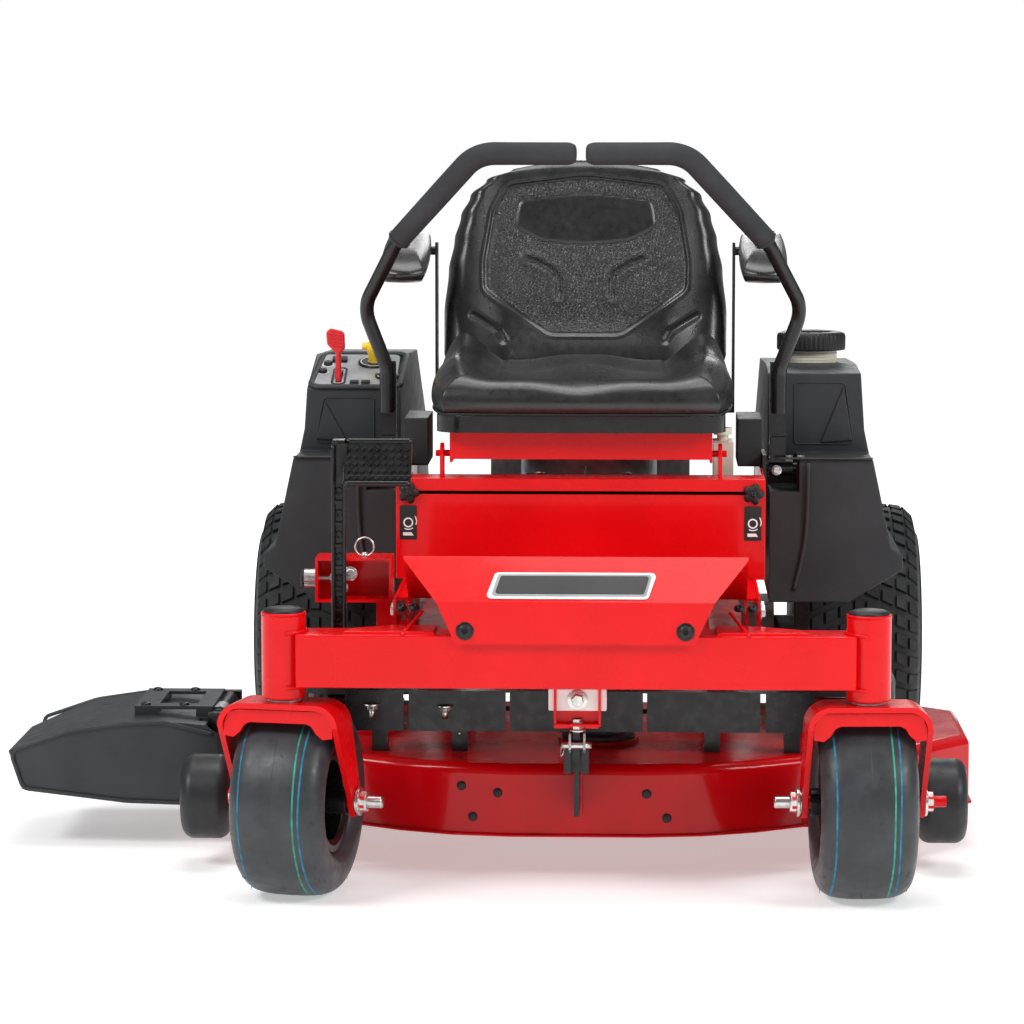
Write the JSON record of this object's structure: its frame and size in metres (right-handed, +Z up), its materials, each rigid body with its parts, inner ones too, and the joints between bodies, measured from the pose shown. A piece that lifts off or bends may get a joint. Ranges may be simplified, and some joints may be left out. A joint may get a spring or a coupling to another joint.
{
  "type": "zero turn mower",
  "caption": "Ride-on zero-turn mower with twin lap bars, swivelling front casters, raised seat and a side-discharge deck.",
  "frame": {"origin": "bottom centre of the whole machine's bounding box, on the ground", "axes": "+Z up, +Y towards the rear engine guard, +X towards the operator's left"},
  "size_m": [1.494, 1.7958, 1.085],
  "materials": {
    "red_paint": "gloss",
    "black_paint": "satin",
    "charcoal_plastic": "matte",
    "black_plastic": "matte",
    "silver_panel": "satin",
    "red_plastic": "gloss",
    "yellow_plastic": "gloss",
    "natural_plastic": "satin",
    "seat_vinyl": "satin",
    "grip_foam": "matte",
    "front_tyre_rubber": "satin",
    "rear_tyre_rubber": "matte",
    "rim_paint": "satin",
    "zinc_steel": "satin",
    "bare_steel": "satin",
    "cast_grey": "matte",
    "engine_cast": "satin",
    "belt_rubber": "matte"
  },
  "bodies": {
    "chassis": {"front_beam": "red_paint", "frame_rails": "red_paint", "foot_plate": "red_paint", "floor_pan": "red_paint", "seat_box": "red_paint", "fender_left": "charcoal_plastic", "fender_right": "charcoal_plastic", "control_panel": "silver_panel", "engine_block": "engine_cast", "engine_shroud": "black_plastic", "muffler": "bare_steel", "transaxles": "cast_grey", "fuel_tank": "natural_plastic", "hydro_tank": "natural_plastic", "battery": "black_plastic", "rear_guard": "black_paint", "frame_fasteners": "zinc_steel", "lever_bases": "black_paint"},
    "caster_left": {"caster_fork_left": "red_paint"},
    "caster_wheel_left": {"caster_rim_left": "rim_paint", "caster_tyre_left": "front_tyre_rubber"},
    "rear_wheel_left": {"rear_rim_left": "rim_paint", "rear_tyre_left": "rear_tyre_rubber"},
    "caster_right": {"caster_fork_right": "red_paint"},
    "caster_wheel_right": {"caster_rim_right": "rim_paint", "caster_tyre_right": "front_tyre_rubber"},
    "rear_wheel_right": {"rear_rim_right": "rim_paint", "rear_tyre_right": "rear_tyre_rubber"},
    "deck": {"deck_shell": "red_paint", "spindle_housings": "cast_grey", "belt_covers": "black_plastic", "deck_belt": "belt_rubber", "deck_brackets": "black_paint"},
    "pedal": {"lift_pedal": "black_paint"},
    "height_pin": {"height_pin": "zinc_steel"},
    "cutter_left": {"cutter_left": "bare_steel"},
    "cutter_middle": {"cutter_middle": "bare_steel"},
    "cutter_right": {"cutter_right": "bare_steel"},
    "pto": {"pto_pulley": "bare_steel"},
    "roller_left": {"roller_left": "black_plastic"},
    "roller_right": {"roller_right": "black_plastic"},
    "chute": {"discharge_chute": "charcoal_plastic"},
    "seat": {"seat_cushion": "seat_vinyl", "seat_back": "seat_vinyl", "seat_frame": "black_paint", "seat_plate": "red_paint"},
    "armrest_left": {"armrest_left": "black_plastic"},
    "lever_left": {"lever_carrier_left": "black_paint"},
    "lap_bar_left": {"lap_bar_left": "black_paint", "grip_left": "grip_foam"},
    "tracking_left": {"tracking_knob_left": "black_plastic"},
    "armrest_right": {"armrest_right": "black_plastic"},
    "lever_right": {"lever_carrier_right": "black_paint"},
    "lap_bar_right": {"lap_bar_right": "black_paint", "grip_right": "grip_foam"},
    "tracking_right": {"tracking_knob_right": "black_plastic"},
    "throttle": {"throttle_lever": "red_plastic"},
    "blade_knob": {"pull_knob": "yellow_plastic"},
    "key": {"ignition_key": "black_plastic"},
    "fuel_cap": {"fuel_cap": "black_plastic"}
  },
  "joints": [
    {"name": "caster_swivel_left", "type": "hinge", "parent": "chassis", "child": "caster_left", "pos_m": [-0.281, -0.81706, 0.3], "axis": [0, 0, 1], "continuous": true},
    {"name": "caster_wheel_left_roll", "type": "hinge", "parent": "caster_left", "child": "caster_wheel_left", "pos_m": [-0.26804, -0.75336, 0.14], "axis": [0.9799, -0.1994, 0], "continuous": true},
    {"name": "rear_wheel_left_roll", "type": "hinge", "parent": "chassis", "child": "rear_wheel_left", "pos_m": [-0.323, 0.39794, 0.225], "axis": [1, 0, 0], "continuous": true},
    {"name": "caster_swivel_right", "type": "hinge", "parent": "chassis", "child": "caster_right", "pos_m": [0.553, -0.81706, 0.3], "axis": [0, 0, 1], "continuous": true},
    {"name": "caster_wheel_right_roll", "type": "hinge", "parent": "caster_right", "child": "caster_wheel_right", "pos_m": [0.5496, -0.75215, 0.14], "axis": [0.9986, 0.0523, 0], "continuous": true},
    {"name": "rear_wheel_right_roll", "type": "hinge", "parent": "chassis", "child": "rear_wheel_right", "pos_m": [0.595, 0.39794, 0.225], "axis": [1, 0, 0], "continuous": true},
    {"name": "deck_height", "type": "slide", "parent": "chassis", "child": "deck", "axis": [0, 0, 1], "range_m": [-0.038, 0.038]},
    {"name": "lift_pedal_push", "type": "hinge", "parent": "chassis", "child": "pedal", "pos_m": [-0.213, -0.66006, 0.318], "axis": [1, 0, 0], "range_deg": [-14.2, 14.2]},
    {"name": "height_pin_pull", "type": "slide", "parent": "chassis", "child": "height_pin", "axis": [-1, 0, 0], "range_m": [0, 0.018], "stiffness_N_per_m": 250, "springref_m": -0.005},
    {"name": "cutter_left_spin", "type": "hinge", "parent": "deck", "child": "cutter_left", "pos_m": [-0.201, -0.30206, 0.16], "axis": [0, 0, 1], "continuous": true},
    {"name": "cutter_middle_spin", "type": "hinge", "parent": "deck", "child": "cutter_middle", "pos_m": [0.164, -0.41706, 0.16], "axis": [0, 0, 1], "continuous": true},
    {"name": "cutter_right_spin", "type": "hinge", "parent": "deck", "child": "cutter_right", "pos_m": [0.529, -0.30206, 0.16], "axis": [0, 0, 1], "continuous": true},
    {"name": "pto_spin", "type": "hinge", "parent": "chassis", "child": "pto", "pos_m": [0.136, 0.42794, 0.3], "axis": [0, 0, 1], "continuous": true},
    {"name": "roller_left_roll", "type": "hinge", "parent": "deck", "child": "roller_left", "pos_m": [-0.425, -0.53906, 0.103], "axis": [1, 0, 0], "continuous": true},
    {"name": "roller_right_roll", "type": "hinge", "parent": "deck", "child": "roller_right", "pos_m": [0.68, -0.53906, 0.103], "axis": [1, 0, 0], "continuous": true},
    {"name": "chute_flip", "type": "hinge", "parent": "deck", "child": "chute", "pos_m": [-0.43, -0.25206, 0.19], "axis": [0, 1, 0], "range_deg": [0, 80], "stiffness_Nm_per_rad": 3, "springref_deg": -22.92},
    {"name": "seat_tilt", "type": "hinge", "parent": "chassis", "child": "seat", "pos_m": [0.136, -0.40006, 0.611], "axis": [1, 0, 0], "range_deg": [0, 13]},
    {"name": "armrest_left_flip", "type": "hinge", "parent": "seat", "child": "armrest_left", "pos_m": [-0.12, -0.04706, 0.905], "axis": [1, 0, 0], "range_deg": [-78, 0]},
    {"name": "lap_bar_left_stroke", "type": "hinge", "parent": "chassis", "child": "lever_left", "pos_m": [-0.174, -0.23206, 0.575], "axis": [1, 0, 0], "range_deg": [-7, 16]},
    {"name": "lap_bar_left_swing", "type": "hinge", "parent": "lever_left", "child": "lap_bar_left", "pos_m": [-0.169, -0.23206, 0.612], "axis": [0, -1, 0], "range_deg": [0, 35]},
    {"name": "tracking_left_turn", "type": "hinge", "parent": "chassis", "child": "tracking_left", "pos_m": [-0.125, -0.45206, 0.555], "axis": [0, -1, 0], "range_deg": [-180, 180]},
    {"name": "armrest_right_flip", "type": "hinge", "parent": "seat", "child": "armrest_right", "pos_m": [0.392, -0.04706, 0.905], "axis": [1, 0, 0], "range_deg": [-78, 0]},
    {"name": "lap_bar_right_stroke", "type": "hinge", "parent": "chassis", "child": "lever_right", "pos_m": [0.446, -0.23206, 0.575], "axis": [1, 0, 0], "range_deg": [-7, 16]},
    {"name": "lap_bar_right_swing", "type": "hinge", "parent": "lever_right", "child": "lap_bar_right", "pos_m": [0.441, -0.23206, 0.612], "axis": [0, 1, 0], "range_deg": [0, 35]},
    {"name": "tracking_right_turn", "type": "hinge", "parent": "chassis", "child": "tracking_right", "pos_m": [0.397, -0.45206, 0.555], "axis": [0, -1, 0], "range_deg": [-180, 180]},
    {"name": "throttle_move", "type": "hinge", "parent": "chassis", "child": "throttle", "pos_m": [-0.256, -0.10589, 0.68923], "axis": [1, 0, 0], "range_deg": [-22, 22]},
    {"name": "blade_knob_pull", "type": "slide", "parent": "chassis", "child": "blade_knob", "axis": [0, -0.2873, 0.9578], "range_m": [0, 0.012]},
    {"name": "key_turn", "type": "hinge", "parent": "chassis", "child": "key", "pos_m": [-0.18, -0.10991, 0.70264], "axis": [0, -0.2873, 0.9578], "range_deg": [-60, 0]},
    {"name": "fuel_cap_lift", "type": "slide", "parent": "chassis", "child": "fuel_cap", "axis": [0, 0, 1], "range_m": [0, 0.035]}
  ],
  "couplings": [
    {"joint": "lift_pedal_push", "follows": "deck_height", "rad_per_m": 6.5},
    {"joint": "cutter_left_spin", "follows": "pto_spin", "ratio": 1},
    {"joint": "cutter_middle_spin", "follows": "pto_spin", "ratio": 1},
    {"joint": "cutter_right_spin", "follows": "pto_spin", "ratio": 1}
  ]
}
